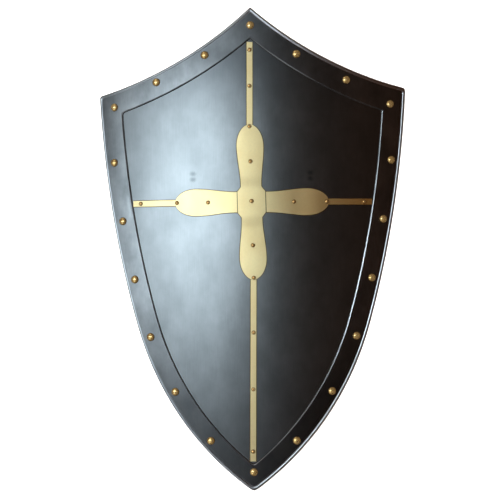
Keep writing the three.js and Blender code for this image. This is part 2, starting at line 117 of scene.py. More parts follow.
# Rivets as head radius, head height, shank radius, back head radius and back head height
BAND_RIVET = (0.006, 0.0042, 0.0022, 0.0046, 0.0016)
CROSS_RIVET = (0.0031, 0.0021, 0.0013, 0.0026, 0.0011)
SEAT_GAP = 0.0003
SCOOP_RIVET_STEPS = 3
SIDE_RIVET_STEPS = 7
RIVET_LINE_STEPS = 24
RIVET_LINE_INSET = 0.0153
TOE_RIVET_STEP = 0.9
TIP_RIVET_INSET = 0.027
TOE_RIVET_INSET = 0.029
SHOULDER_RIVET_INSET = 0.027
SHOULDER_RIVET_BELOW = 0.0215

GRIP_ALONG = 0.107
GRIP_HALF_SPAN = 0.087
GRIP_DROP = 0.042
GRIP_WIDTH = 0.018
GRIP_THICKNESS = 0.005
GRIP_BEND = 0.013
GRIP_ROUNDING = 0.0012
GRIP_LEG_STEPS = 4
GRIP_BEND_STEPS = 14
GRIP_CORNER_STEPS = 4
BEAD_RADIUS = 0.0016
BEAD_SWELL = 0.0004
BEAD_OUTSIDE = 0.0006
BEAD_GAP = 0.0002
BEAD_FLATTENED = 0.6

# Unevenness of hand work, and painted shade in the seam beside the band
WIDE_WAVE = 0.11 * MM
CLOSE_WAVE = 0.025 * MM
EDGE_WANDER = 0.4 * MM
BAND_WAVE_STRETCH = 1.3
BAND_WAVE_SHIFT = 3
LIFTS_FROM = 0.006
LIFTS_FULLY_AT = 0.016
SEAM_BESIDE = 0.0008
SEAM_UNDER = 0.001
SEAM_HEIGHTS = (0.00002, 0.00009)

# Worn places on the flat pattern: small dents as across, along, radius and depth, and the marks of two welds
WELD_ACROSS = GRIP_HALF_SPAN
WELD_ALONG = GRIP_ALONG + 0.0007
WELD_SPOT_APART = 0.0042
WELD_STRETCH = (190, 250, 0)
WELD_GRAIN = (500, 300, 1)
WELD_FULL_AT = 0.8
WELD_GONE_AT = 1.7
PLATE_DENTS = [(0.0105, 0.240, 0.0042, 0.00028), (-0.110, -0.174, 0.006, 0.00012)]
PLATE_DENTS += [(side * WELD_ACROSS, WELD_ALONG + up * WELD_SPOT_APART, 0.0026, 0.00016)
                for side in (1, -1) for up in (1, -1)]
BAND_DENTS = [(-0.1878 + 0.0012 * i, 0.078 - 0.0075 * i, 0.0026, 0.0004) for i in range(4)]

# The shield's own axes, found from the flat under edge of its grip bar, which is a mount in the record
mount = frame["record"]["mounts"][0]
ALONG_AXIS = -Vector(mount["axis"]).normalized()
ACROSS_AXIS = Vector((1, 0, 0))
FACE_AXIS = ACROSS_AXIS.cross(ALONG_AXIS)
grip_edge_along = GRIP_ALONG - GRIP_WIDTH / 2
grip_edge_height = -GRIP_DROP + GRIP_THICKNESS / 2
CROWN = Vector(mount["pos_m"]) - ALONG_AXIS * grip_edge_along - FACE_AXIS * grip_edge_height


def own_place(x, y, z):
    """A place in the shield's own upright axes, taken to the lying frame."""
    return CROWN + ACROSS_AXIS * x + ALONG_AXIS * y + FACE_AXIS * z


def bent(across, along, height):
    """A place on the flat pattern, bent onto the curved shield."""
    angle = across / BEND_RADIUS
    radius = BEND_RADIUS + height
    return own_place(radius * math.sin(angle), along, radius * math.cos(angle) - BEND_RADIUS)


def spread(start, end, steps):
    return [start + (end - start) * i / steps for i in range(steps + 1)]


def lerp(a, b, part):
    return a + (b - a) * part


def clamp(value, low=0.0, high=1.0):
    return max(low, min(high, value))


def smooth(part):
    part = clamp(part)
    return part * part * (3 - 2 * part)


def share_of(value, start, end):
    """How far a value has come on its way, eased at both ends."""
    return smooth((value - start) / (end - start))


# Outline of the shield, from the same circles as the part's source
def centre_through(start, end, radius):
    chord = end - start
    leftward = Vector((-chord.y, chord.x)).normalized()
    return (start + end) / 2 + leftward * math.sqrt(radius ** 2 - chord.length_squared / 4)


def circles_meet(first, first_radius, second, second_radius):
    span = (second - first).length
    unit = (second - first) / span
    forward = (span ** 2 + first_radius ** 2 - second_radius ** 2) / (2 * span)
    aside = math.sqrt(first_radius ** 2 - forward ** 2)
    return first + unit * forward + Vector((-unit.y, unit.x)) * aside


FLANK_CENTRE = Vector((
    SHOULDER_ACROSS - FLANK_RADIUS * math.cos(FLANK_START),
    SHOULDER_ALONG + FLANK_RADIUS * math.sin(FLANK_START),
))
TOE_CENTRE = circles_meet(FLANK_CENTRE, FLANK_RADIUS - TOE_RADIUS, Vector((0, TOE_ALONG)), TOE_RADIUS)
JOIN_DIRECTION = (TOE_CENTRE - FLANK_CENTRE).normalized()


def scoop_centre(side, inset):
    """Centre of the scooped top edge; the left shoulder of the outer edge sits lower than the right one."""
    slip = side * SHOULDER_SLIP * (1 - inset / BAND_WIDTH)
    shoulder = Vector((SHOULDER_ACROSS, SHOULDER_ALONG + slip))
    return centre_through(Vector((0, TIP_ALONG)), shoulder, SCOOP_RADIUS)


def inset_beside(corner, inset):
    """How far in a line of the band lies beside a corner, past the rolled edge."""
    share = max(0, (inset - 2 * ROLL_RADIUS) / (BAND_WIDTH - 2 * ROLL_RADIUS))
    return inset + BAND_WIDENING[corner] * share


def scoop_along(side, inset, across):
    centre = scoop_centre(side, inset)
    return centre.y - math.sqrt((SCOOP_RADIUS + inset) ** 2 - (across - centre.x) ** 2)


def lower_along(inset, across):
    return TOE_CENTRE.y - math.sqrt((TOE_RADIUS - inset) ** 2 - (across - TOE_CENTRE.x) ** 2)


def half_outline(side, inset):
    """Corners of one half of the outline, this far in from the edge, and the centre of its scoop."""
    scoop = scoop_centre(side, inset)
    shoulder_inset = inset_beside("shoulder", inset)
    flank_reach = FLANK_RADIUS - shoulder_inset
    return {
        "scoop": scoop,
        "tip": Vector((0, scoop_along(side, inset_beside("tip", inset), 0))),
        "shoulder": circles_meet(scoop, SCOOP_RADIUS + shoulder_inset, FLANK_CENTRE, flank_reach),
        "belly": FLANK_CENTRE + JOIN_DIRECTION * (FLANK_RADIUS - inset_beside("belly", inset)),
        "toe": Vector((0, lower_along(inset_beside("toe", inset), 0))),
    }


def arc_places(centre, start, end, steps, cut_start=0.0, cut_end=0.0):
    """Places round a centre, the radius changing evenly from the first to the last."""
    first, last = start - centre, end - centre
    angle = math.atan2(first.y, first.x)
    sweep = (math.atan2(last.y, last.x) - angle + math.pi) % (2 * math.pi) - math.pi
    length = abs(sweep) * first.length
    found = []
    for part in spread(cut_start / length, 1 - cut_end / length, steps):
        turn = angle + sweep * part
        radius = lerp(first.length, last.length, part)
        found.append(centre + Vector((math.cos(turn), math.sin(turn))) * radius)
    return found


def corner_places(before, corner, after, steps):
    parts = spread(0, 1, steps)[1:-1]
    return [before * (1 - t) ** 2 + corner * 2 * t * (1 - t) + after * t ** 2 for t in parts]


SCOOP_STEPS = 54
FLANK_STEPS = 78
TOE_STEPS = 58
CORNER_STEPS = 6


def half_places(side, inset):
    """One half from just beside the tip to just beside the toe, on the positive side."""
    half = half_outline(side, inset)
    top = arc_places(
        half["scoop"], half["tip"], half["shoulder"], SCOOP_STEPS, TIP_ROUNDING, SHOULDER_ROUNDING)
    flank = arc_places(FLANK_CENTRE, half["shoulder"], half["belly"], FLANK_STEPS, SHOULDER_ROUNDING)
    lower = arc_places(TOE_CENTRE, half["belly"], half["toe"], TOE_STEPS, 0, TOE_ROUNDING)[1:]
    return top + corner_places(top[-1], half["shoulder"], flank[0], CORNER_STEPS) + flank + lower


def edge_loop(inset):
    """The whole edge, this far in: down the right side, round the toe, up the left, round the tip."""
    right = half_places(1, inset)
    left = [Vector((-p.x, p.y)) for p in half_places(-1, inset)]
    half = half_outline(1, inset)
    toe = corner_places(right[-1], half["toe"], left[-1], CORNER_STEPS)
    tip = corner_places(left[0], half["tip"], right[0], CORNER_STEPS)
    return right + toe + left[::-1] + tip


def new_mesh(name, flats, faces, material, places=None, rim_sheen_and_shade=None):
    """A piece from flat-pattern places, which it keeps for its material with the share of painted edge sheen
    and shade at each one.
    """
    mesh = bpy.data.meshes.new(name)
    mesh.from_pydata(places or [bent(*flat) for flat in flats], [], faces)
    keep = mesh.attributes.new("flat", "FLOAT_VECTOR", "POINT")
    keep.data.foreach_set("vector", [value for flat in flats for value in flat])
    rim_tone = mesh.attributes.new("rim_sheen_and_shade", "FLOAT", "POINT")
    rim_tone.data.foreach_set("value", rim_sheen_and_shade or [0.0] * len(flats))
    work = bmesh.new()
    work.from_mesh(mesh)
    bmesh.ops.recalc_face_normals(work, faces=work.faces)
    work.to_mesh(mesh)
    work.free()
    mesh.polygons.foreach_set("use_smooth", [True] * len(mesh.polygons))
    mesh.materials.append(material)
    piece = bpy.data.objects.new(name, mesh)
    bpy.context.scene.collection.objects.link(piece)
    return piece


def sharpen(piece, degrees):
    """Keeps folds sharper than this as edges."""
    piece.data.set_sharp_from_angle(angle=math.radians(degrees))


def loft_faces(rings, count, closed):
    faces = []
    for i in range(rings if closed else rings - 1):
        here, there = i * count, (i + 1) % rings * count
        for j in range(count):
            k = (j + 1) % count
            faces.append((here + j, there + j, there + k, here + k))
    if not closed:
        faces.append(tuple(range(count)))
        faces.append(tuple(range((rings - 1) * count, rings * count)))
    return faces


def dress(piece, slot, *nodes):
    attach(piece, "root")
    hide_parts(*nodes)


# Materials
def start_material(name):
    material = bpy.data.materials.new(name)
    material.use_nodes = True
    nodes = material.node_tree.nodes
    nodes.clear()
    output = nodes.new("ShaderNodeOutputMaterial")
    shader = nodes.new("ShaderNodeBsdfPrincipled")
    material.node_tree.links.new(shader.outputs["BSDF"], output.inputs["Surface"])
    return material, shader


def add(material, kind, **inputs):
    node = material.node_tree.nodes.new(kind)
    for key, value in inputs.items():
        socket = node.inputs[key.replace("_", " ")]
        if isinstance(value, bpy.types.NodeSocket):
            material.node_tree.links.new(value, socket)
        else:
            socket.default_value = value
    return node


def stored(material, name, kind):
    """What the mesh keeps under this name at each of its places."""
    node = add(material, "ShaderNodeAttribute")
    node.attribute_name = name
    return node.outputs[kind]


def noise_value(material, scale, detail, roughness):
    """Noise on the flat pattern, with this many bumps per metre across, along and in height."""
    flat = stored(material, "flat", "Vector")
    stretched = add(material, "ShaderNodeMapping", Vector=flat, Scale=scale).outputs["Vector"]
    node = add(
        material, "ShaderNodeTexNoise", Vector=stretched, Scale=1.0, Detail=detail, Roughness=roughness)
    return node.outputs["Fac"]


def ramp(material, value, stops):
    """A colour that goes from one stop to the other, each a value and a colour."""
    node = add(material, "ShaderNodeValToRGB", Fac=value)
    for element, (at, colour) in zip(node.color_ramp.elements, stops):
        element.position = at
        element.color = (*colour, 1)
    return node.outputs["Color"]


def remap(material, value, low, high, from_low, from_high):
    node = add(
        material, "ShaderNodeMapRange",
        Value=value, From_Min=from_low, From_Max=from_high, To_Min=low, To_Max=high)
    return node.outputs["Result"]


def mixed(material, blend, factor, first, second):
    node = add(material, "ShaderNodeMix")
    node.data_type = "RGBA"
    node.blend_type = blend
    factor_socket, first_socket, second_socket, result_socket = 0, 6, 7, 2
    for index, value in ((factor_socket, factor), (first_socket, first), (second_socket, second)):
        if isinstance(value, bpy.types.NodeSocket):
            material.node_tree.links.new(value, node.inputs[index])
        else:
            node.inputs[index].default_value = value
    return node.outputs[result_socket]


def vector_step(material, operation, first, second=None):
    node = add(material, "ShaderNodeVectorMath")
    node.operation = operation
    material.node_tree.links.new(first, node.inputs[0])
    if second is not None:
        node.inputs[1].default_value = second
    return node.outputs["Value" if operation == "LENGTH" else "Vector"]


PATCHES_PER_METRE = (22, 16, 22)
PATCH_LOW, PATCH_HIGH = 0.35, 0.65
STREAK_LOW, STREAK_HIGH = 0.3, 0.7
GLOSS_VARIES = 0.03
STREAK_BUMP = 0.02
STREAK_DEPTH = 0.0004


def metal(name, tones, roughness, streak, grain, metallic=1.0):
    """Brushed metal: two tones in soft patches, with streaks in tone, in gloss and slightly in height."""
    material, shader = start_material(name)
    patches = noise_value(material, PATCHES_PER_METRE, 4.0, 0.6)
    streaks = noise_value(material, streak, 4.0, 0.65)
    soft = ramp(material, patches, [(PATCH_LOW, tones[0]), (PATCH_HIGH, tones[1])])
    lines = ramp(material, streaks, [(STREAK_LOW, (grain, grain, grain)), (STREAK_HIGH, (1, 1, 1))])
    glossy, dull = roughness - GLOSS_VARIES, roughness + GLOSS_VARIES
    gloss = remap(material, streaks, glossy, dull, STREAK_LOW, STREAK_HIGH)
    bump = add(material, "ShaderNodeBump", Height=streaks, Strength=STREAK_BUMP, Distance=STREAK_DEPTH)
    links = material.node_tree.links
    links.new(mixed(material, "MULTIPLY", 1.0, soft, lines), shader.inputs["Base Color"])
    links.new(gloss, shader.inputs["Roughness"])
    links.new(bump.outputs["Normal"], shader.inputs["Normal"])
    shader.inputs["Metallic"].default_value = metallic
    return material, shader


def retoned(material, shader, factor, tone):
    """Another tone where the factor is high."""
    colour = shader.inputs["Base Color"]
    plain = colour.links[0].from_socket
    material.node_tree.links.new(mixed(material, "MIX", factor, plain, (*tone, 1)), colour)


def edge_toned(material, shader, strength, tone):
    """Rims in another tone: painted highlight on the band's edges, painted shade round the rivet heads, and
    patina with painted shade on the rims of the brass sheets.
    """
    rim_sheen_and_shade = stored(material, "rim_sheen_and_shade", "Fac")
    retoned(material, shader, remap(material, rim_sheen_and_shade, 0.0, strength, 0.0, 1.0), tone)


def shaded_along(material, shader, axis, tone, *ends):
    """Another tone towards an end or a side: where it starts, where it is full, and how strong it is. On the
    brass it is a painted reflection.
    """
    parts = add(material, "ShaderNodeSeparateXYZ", Vector=stored(material, "flat", "Vector"))
    for start, full, strength in ends:
        retoned(material, shader, remap(material, parts.outputs[axis], 0.0, strength, start, full), tone)


def weld_marked(material, shader, strength, tone):
    """Two pairs of dull spots where the heat of the grip's welds came through the plate."""
    level = vector_step(material, "SUBTRACT", stored(material, "flat", "Vector"), (0, WELD_ALONG, 0))
    mirrored = vector_step(material, "ABSOLUTE", level)
    place = vector_step(material, "SUBTRACT", mirrored, (WELD_ACROSS, WELD_SPOT_APART, 0))
    distance = vector_step(material, "LENGTH", vector_step(material, "MULTIPLY", place, WELD_STRETCH))
    grain = noise_value(material, WELD_GRAIN, 3.0, 0.6)
    uneven = add(material, "ShaderNodeMath")
    uneven.operation = "ADD"
    material.node_tree.links.new(distance, uneven.inputs[0])
    material.node_tree.links.new(grain, uneven.inputs[1])
    factor = remap(material, uneven.outputs["Value"], strength, 0.0, WELD_FULL_AT, WELD_GONE_AT)
    retoned(material, shader, factor, tone)


# Plate: brushed along its length, darker towards the tip and a little towards the toe
plate_steel, plate_shader = metal(
    "plate_steel", ((0.207, 0.225, 0.232), (0.263, 0.283, 0.291)), 0.325, (1400, 25, 1), 0.86)
shaded_along(plate_steel, plate_shader, "Y", (0.10, 0.11, 0.12), (0.20, 0.29, 0.65), (-0.10, -0.26, 0.25))
weld_marked(plate_steel, plate_shader, 0.62, (0.08, 0.095, 0.10))

# Band: cloudier than the plate and darker at both ends, with painted highlights on its edges
band_steel, band_shader = metal(
    "band_steel", ((0.210, 0.225, 0.232), (0.350, 0.370, 0.380)), 0.33, (500, 60, 1), 0.9)
shaded_along(band_steel, band_shader, "Y", (0.06, 0.062, 0.065), (0.21, 0.28, 0.42), (-0.04, -0.22, 0.74))
# Painted highlight on the band's edges, pale where they face the lights
edge_toned(band_steel, band_shader, 0.9, (0.82, 0.86, 0.90))

# Painted shade beside the band: a near-black strip, and the plain bar of the grip
seam_shade, _ = metal(
    "seam_shade", ((0.004, 0.004, 0.004), (0.010, 0.009, 0.008)), 0.7, (300, 300, 1), 0.9, 0.0)
bar_steel, _ = metal(
    "bar_steel", ((0.16, 0.165, 0.17), (0.24, 0.245, 0.25)), 0.5, (60, 700, 60), 0.86)

# Sheet brass: warmer towards the right as a painted reflection of the warm room, with dark rims of patina
# and painted shade
sheet_brass, sheet_shader = metal(
    "sheet_brass", ((0.94, 0.755, 0.385), (0.99, 0.835, 0.455)), 0.45, (300, 300, 1), 0.95, 0.985)
# Painted reflection: warmer orange towards the right side
shaded_along(sheet_brass, sheet_shader, "X", (1.0, 0.52, 0.12), (0.03, 0.17, 0.8))
# Dark rims: patina with painted shade along the edges
edge_toned(sheet_brass, sheet_shader, 0.95, (0.13, 0.075, 0.035))

# Rivet brass: polished on the band, duller on the cross, with painted shade round the foot of each head
rivet_brass, rivet_shader = metal(
    "rivet_brass", ((0.84, 0.57, 0.22), (0.92, 0.65, 0.27)), 0.28, (300, 300, 300), 0.92, 0.93)
edge_toned(rivet_brass, rivet_shader, 0.85, (0.20, 0.09, 0.03))
dull_brass, dull_shader = metal(
    "dull_brass", ((0.70, 0.42, 0.15), (0.80, 0.50, 0.20)), 0.28, (300, 300, 300), 0.9, 0.95)
# Painted shade round the foot of each small head
edge_toned(dull_brass, dull_shader, 0.9, (0.10, 0.04, 0.015))


# Plate and band
PLATE_COLUMNS = 104
PLATE_RUNGS = 130


def face_plate():
    """Curved sheet: columns across from the toe or flank up to the scooped top edge."""
    lows = half_places(1, PLATE_INSET)[SCOOP_STEPS + CORNER_STEPS:]
    columns = []
    for across in spread(-lows[0].x, lows[0].x, PLATE_COLUMNS):
        side = 1 if across >= 0 else -1
        high = scoop_along(side, PLATE_INSET, abs(across))
        columns.append([(across, along) for along in spread(edge_at(lows, abs(across)), high, PLATE_RUNGS)])
    flats, faces = [], []
    count = PLATE_RUNGS + 1
    for height in (0.0, -STEEL):
        for column in columns:
            flats += [(u, v, height + ripple(u, v) - dents(PLATE_DENTS, u, v)) for u, v in column]
    layer = len(columns) * count
    for i in range(len(columns) - 1):
        for j in range(PLATE_RUNGS):
            a = i * count + j
            quad = (a, a + 1, a + count + 1, a + count)
            faces.append(quad)
            faces.append(tuple(layer + k for k in reversed(quad)))
    rim = [i * count for i in range(len(columns))]
    rim += [(len(columns) - 1) * count + j for j in range(1, count)]
    rim += [i * count + PLATE_RUNGS for i in range(len(columns) - 2, -1, -1)]
    rim += [j for j in range(PLATE_RUNGS - 1, 0, -1)]
    for here, there in zip(rim, rim[1:] + rim[:1]):
        faces.append((here, there, layer + there, layer + here))
    piece = new_mesh("plate_sheet", flats, faces, plate_steel)
    sharpen(piece, 35)
    dress(piece, "steel_plate", "face_plate")


def edge_at(lows, across):
    """Height along the shield of the lower edge at this distance from the middle."""
    for here, there in zip(lows, lows[1:]):
        if there.x <= across <= here.x:
            return lerp(there.y, here.y, (across - there.x) / max(here.x - there.x, 1e-9))
    return lows[0].y if across > lows[0].x else lower_along(PLATE_INSET, TOE_ROUNDING / 2)


def ripple(across, along):
    """The slight unevenness that hand work leaves in a sheet: a wide wave and a close one."""
    wide = noise.noise(Vector((across * 11, along * 8, 0.3)))
    close = noise.noise(Vector((across * 34, along * 26, 4.1)))
    return WIDE_WAVE * wide + CLOSE_WAVE * close


def dents(places, across, along):
    depth = 0.0
    for u, v, radius, deep in places:
        depth += deep * math.exp(-((across - u) ** 2 + (along - v) ** 2) / radius ** 2)
    return depth


def band_section():
    """Section of the band as insets, heights and share of painted edge highlight: inner edge, flat, rolled
    outer edge, underside.
    """
    low, high = GAP, GAP + STEEL
    inner_roll = ROLL_RADIUS - STEEL
    top_angle = math.asin((high - ROLL_CENTRE) / ROLL_RADIUS)
    under_angle = math.asin((low - ROLL_CENTRE) / inner_roll)
    ground = BAND_WIDTH - BAND_GROUND
    flat = spread(BAND_WIDTH - BAND_FLAT_TO_INNER, BAND_FLAT_TO_OUTER, BAND_FLAT_STEPS)
    under = spread(BAND_UNDER_TO_OUTER, BAND_WIDTH - BAND_UNDER_TO_INNER, BAND_UNDER_STEPS)
    # The third value is the share of painted edge highlight, on the inner edge and the rolled outer edge
    section = [(BAND_WIDTH, low, 0), (BAND_WIDTH, low + BAND_FOOT, 1)]
    section += [(ground, high, 1), (ground - BAND_FOOT, high, 0)]
    section += [(inset, high, 0) for inset in flat]
    section += [(ROLL_RADIUS + ROLL_RADIUS * math.cos(a), ROLL_CENTRE + ROLL_RADIUS * math.sin(a), 1)
                for a in spread(top_angle, ROLL_LIP, ROLL_OUTER_STEPS)]
    section += [(ROLL_RADIUS + inner_roll * math.cos(a), ROLL_CENTRE + inner_roll * math.sin(a), 0)
                for a in spread(ROLL_LIP, under_angle, ROLL_INNER_STEPS)]
    return section + [(inset, low, 0) for inset in under]


def band_lift(place, inset, height):
    """How far hand work has lifted the band here; its rolled edge stays on the plate's edge."""
    wave = ripple(place.x * BAND_WAVE_STRETCH + BAND_WAVE_SHIFT, place.y * BAND_WAVE_STRETCH)
    lift = abs(wave) * share_of(inset, LIFTS_FROM, LIFTS_FULLY_AT)
    return lift - dents(BAND_DENTS, place.x, place.y) if height > GAP else lift


def painted_edge_sheen(outward, inner_edge):
    """How much painted highlight an edge that faces this way gets: most on the right, none inside the top
    edge.
    """
    sheen_share = lerp(0.3, 1, share_of(outward.x, -0.4, 0.4))
    return sheen_share * (1 - share_of(outward.y, 0, 0.5)) if inner_edge else sheen_share


def border_band():
    section = band_section()
    loops = [edge_loop(inset) for inset, _, _ in section]
    flats, rim_sheen_and_shade = [], []
    for i in range(len(loops[0])):
        outward = (loops[INNER_EDGE_POINTS][i] - loops[0][i]).normalized()
        for j, (inset, height, rim_tone) in enumerate(section):
            place = loops[j][i]
            height += band_lift(place, inset, height)
            if j < INNER_EDGE_POINTS:
                wander = abs(noise.noise(Vector((place.x * 60, place.y * 60, 7.7))))
                place = place + outward * EDGE_WANDER * wander
            flats.append((place.x, place.y, height))
            # Painted highlight along the inner edge and the rolled outer edge, set by which way each faces
            rim_sheen_and_shade.append(rim_tone * painted_edge_sheen(outward, j < INNER_EDGE_POINTS))
    faces = loft_faces(len(loops[0]), len(section), True)
    piece = new_mesh("band_sheet", flats, faces, band_steel, rim_sheen_and_shade=rim_sheen_and_shade)
    sharpen(piece, 30)
    dress(piece, "steel_band", "border_band")


def seam_line():
    """Painted shade: a dark strip in the corner between the band and the plate."""
    low, high = SEAM_HEIGHTS
    beside, under = BAND_WIDTH + SEAM_BESIDE, BAND_WIDTH - SEAM_UNDER
    section = [(beside, low), (beside, high), (under, high), (under, low)]
    flats = []
    for places in zip(*(edge_loop(inset) for inset, _ in section)):
        for place, (_, height) in zip(places, section):
            flats.append((place.x, place.y, height + ripple(place.x, place.y)))
    faces = loft_faces(len(flats) // len(section), len(section), True)
    piece = new_mesh("seam_shade", flats, faces, seam_shade)
    dress(piece, "steel_band", "border_band")


# Cross and straps
def arm_half(reach):
    if reach < ARM_WIDEST_AT:
        part = clamp((reach - ARM_WAIST_AT) / (ARM_WIDEST_AT - ARM_WAIST_AT))
        return ARM_WAIST_HALF + (ARM_WIDEST_HALF - ARM_WAIST_HALF) * (1 - math.cos(math.pi * part)) / 2
    part = (reach - ARM_WIDEST_AT) / (ARM_REACH - ARM_WIDEST_AT)
    return ARM_WIDEST_HALF * math.sqrt(max(0.0, 1 - part ** 2))


STEP_HIGH = GAP + BRASS
OVER_STRAP_FROM = ARM_REACH - STRAP_UNDER_ARM - RISE_CLEARANCE
OVER_PLATE_TO = ARM_WAIST_HALF + RISE_CLEARANCE


def arm_rise(reach):
    return STEP_HIGH * share_of(reach, ARM_LIES_TO, OVER_STRAP_FROM)


def block_rise(reach):
    return max(arm_rise(reach), STEP_HIGH * share_of(reach, ARM_LIES_FROM, OVER_PLATE_TO))


def block_half(reach):
    if reach > CHAMFER_END:
        return arm_half(reach)
    return lerp(ARM_WAIST_HALF, BLOCK_HALF, clamp((CHAMFER_END - reach) / (CHAMFER_END - CHAMFER_START)))


ARM_STEPS = 50
LOBE_STEPS = 30


def arm_reaches(*extra):
    """Places along both arms of a plate, close together where the lobes are round."""
    lobe = [ARM_WIDEST_AT + (ARM_REACH - ARM_WIDEST_AT) * math.cos(a)
            for a in spread(ARM_TIP_ANGLE, math.pi / 2, LOBE_STEPS)]
    half = sorted(lobe + spread(ARM_WIDEST_AT, 0, ARM_STEPS)[1:] + list(extra), reverse=True)
    return half + [-reach for reach in reversed(half[:-1])]


LEVEL_WAY = Vector((1, 0))
UPRIGHT_WAY = Vector((-math.sin(UPRIGHT_LEAN), math.cos(UPRIGHT_LEAN)))


def along_arm(way, reach):
    return Vector((0, CROSS_ALONG)) + way * reach


def sheet_station(place, way, half, low):
    """A cut across a brass sheet: its middle, the way across it, its half width and its height."""
    return place, Vector((way.y, -way.x)), half, low


def brass_sheet(name, stations, across_steps, node):
    """A brass sheet laid over the plate, its upper edges filed to a slope that narrows with the sheet."""
    flats = []
    for place, rightward, half, low in stations:
        high, filed_low = low + BRASS, low + BRASS * FILED_FROM
        top = half - min(BRASS_FILED, half * 0.3)
        inner = max(top - BRASS_RIM, half * 0.2)
        # Edge places carry the dark rim tone, patina with painted shade
        left = [(-half, low, 1), (-half, filed_low, 1), (-top, high, 1)]
        over = [(aside, high, 0) for aside in spread(-inner, inner, across_steps)]
        right = [(top, high, 1), (half, filed_low, 1), (half, low, 1)]
        ring = left + over + right + [(0, low, 0)]
        for aside, height, _ in ring:
            edge = place + rightward * aside
            flats.append((edge.x, edge.y, height))
    rim_sheen_and_shade = [rim_tone for _, _, rim_tone in ring] * len(stations)
    piece = new_mesh(name, flats, loft_faces(len(stations), len(ring), False), sheet_brass, rim_sheen_and_shade=rim_sheen_and_shade)
    sharpen(piece, 25)
    dress(piece, "brass_sheet", node)


def cross_plate(name, way, half_at, rise_at, reaches, across_steps, node):
    """A plate with two arms, its half width and its rise both found from how far out along them it is."""
    stations = [sheet_station(along_arm(way, reach), way, half_at(abs(reach)), GAP + rise_at(abs(reach)))
                for reach in reaches]
    brass_sheet(name, stations, across_steps, node)


def cross_plates():
    cross_plate("level_brass", LEVEL_WAY, arm_half, arm_rise, arm_reaches(), 6, "cross_level_plate")
    reaches = arm_reaches(CHAMFER_START, CHAMFER_END)
    cross_plate("upright_brass", UPRIGHT_WAY, block_half, block_rise, reaches, 10, "cross_upright_plate")


def flank_across(inset, along):
    """How far across the line at this inset runs, level with a place along the flank."""
    places = half_places(1, inset)[SCOOP_STEPS + 1:]
    for above, below in zip(places, places[1:]):
        if below.y < along <= above.y:
            return lerp(below.x, above.x, (along - below.y) / (above.y - below.y))
    return places[0].x


def strap_lines():
    """The four straps, each from its start under an arm to its end by the band."""
    start = ARM_REACH - STRAP_UNDER_ARM
    far_corner = STRAP_HALF + abs(STRAP_END_ACROSS)
    top_end = scoop_along(1, inset_beside("tip", BAND_WIDTH), far_corner) - STRAP_TO_BAND
    toe_end = lower_along(inset_beside("toe", BAND_WIDTH), far_corner) + STRAP_TO_BAND
    side_end = flank_across(BAND_WIDTH, CROSS_ALONG - STRAP_HALF) - STRAP_TO_BAND
    return {
        "strap_top": (along_arm(UPRIGHT_WAY, start), Vector((STRAP_END_ACROSS, top_end))),
        "strap_toe": (along_arm(UPRIGHT_WAY, -start), Vector((STRAP_END_ACROSS, toe_end))),
        "strap_right": (along_arm(LEVEL_WAY, start), Vector((side_end, CROSS_ALONG))),
        "strap_left": (along_arm(LEVEL_WAY, -start), Vector((-side_end, CROSS_ALONG))),
    }


def straps(lines):
    for node, (start, end) in lines.items():
        way = (end - start).normalized()
        parts = spread(0, 1, STRAP_STEPS)
        stations = [sheet_station(start.lerp(end, part), way, STRAP_HALF, GAP) for part in parts]
        brass_sheet(node + "_brass", stations, 4, node)


# Rivets, with angles in radians for how far painted shade reaches up a head and where a back head's round
# ends
RIVET_SIDES = 28
DOME_STEPS = 14
BACK_STEPS = 6
SHADE_REACH = 0.8
BACK_LIP = 0.15


def seated(across, along):
    """The place and the turn of a rivet that stands square on the curved plate."""
    angle = across / BEND_RADIUS
    x_axis = ACROSS_AXIS * math.cos(angle) - FACE_AXIS * math.sin(angle)
    z_axis = ACROSS_AXIS * math.sin(angle) + FACE_AXIS * math.cos(angle)
    turn = Matrix((x_axis, ALONG_AXIS, z_axis)).transposed().to_4x4()
    turn.translation = bent(across, along, 0)
    return turn


def rivet_profile(radius, height, shank, back, back_height, seat):
    """Radii, heights and share of painted shade from the middle of the back head round to the top of the
    dome.
    """
    top = seat + SEAT_GAP
    under = -STEEL - SEAT_GAP
    back_angles = spread(math.pi / 2, BACK_LIP, BACK_STEPS)[1:]
    back_round = [(back * math.cos(a), under - back_height * math.sin(a), 0) for a in back_angles]
    # Painted shade is full at the foot of the dome and fades up its side
    dome = [(radius * math.cos(a), top + height * math.sin(a), 1 - smooth(a / SHADE_REACH))
            for a in spread(0, math.pi / 2, DOME_STEPS)]
    middle = [(back, under, 0), (shank, under, 0), (shank, top, 1)]
    return [(0, under - back_height, 0)] + back_round + middle + dome


def rivets(name, nodes, sizes, places, material):
    flats, points, faces, rim_sheen_and_shade = [], [], [], []
    for across, along, seat in places:
        matrix = seated(across, along)
        profile = rivet_profile(*sizes, seat)
        base = len(points)
        for radius, height, rim_tone in profile:
            for k in range(RIVET_SIDES):
                a = 2 * math.pi * k / RIVET_SIDES
                local = Vector((radius * math.cos(a), radius * math.sin(a), height))
                points.append(matrix @ local)
                flats.append((across + local.x, along + local.y, height))
                rim_sheen_and_shade.append(rim_tone)
        for i in range(len(profile) - 1):
            below, above = base + i * RIVET_SIDES, base + (i + 1) * RIVET_SIDES
            for k in range(RIVET_SIDES):
                m = (k + 1) % RIVET_SIDES
                faces.append((below + k, below + m, above + m, above + k))
    piece = new_mesh(name, flats, faces, material, points, rim_sheen_and_shade)
    work = bmesh.new()
    work.from_mesh(piece.data)
    bmesh.ops.remove_doubles(work, verts=work.verts, dist=1e-6)
    bmesh.ops.recalc_face_normals(work, faces=work.faces)
    work.to_mesh(piece.data)
    work.free()
    sharpen(piece, 50)
    dress(piece, "brass_rivet", *nodes)


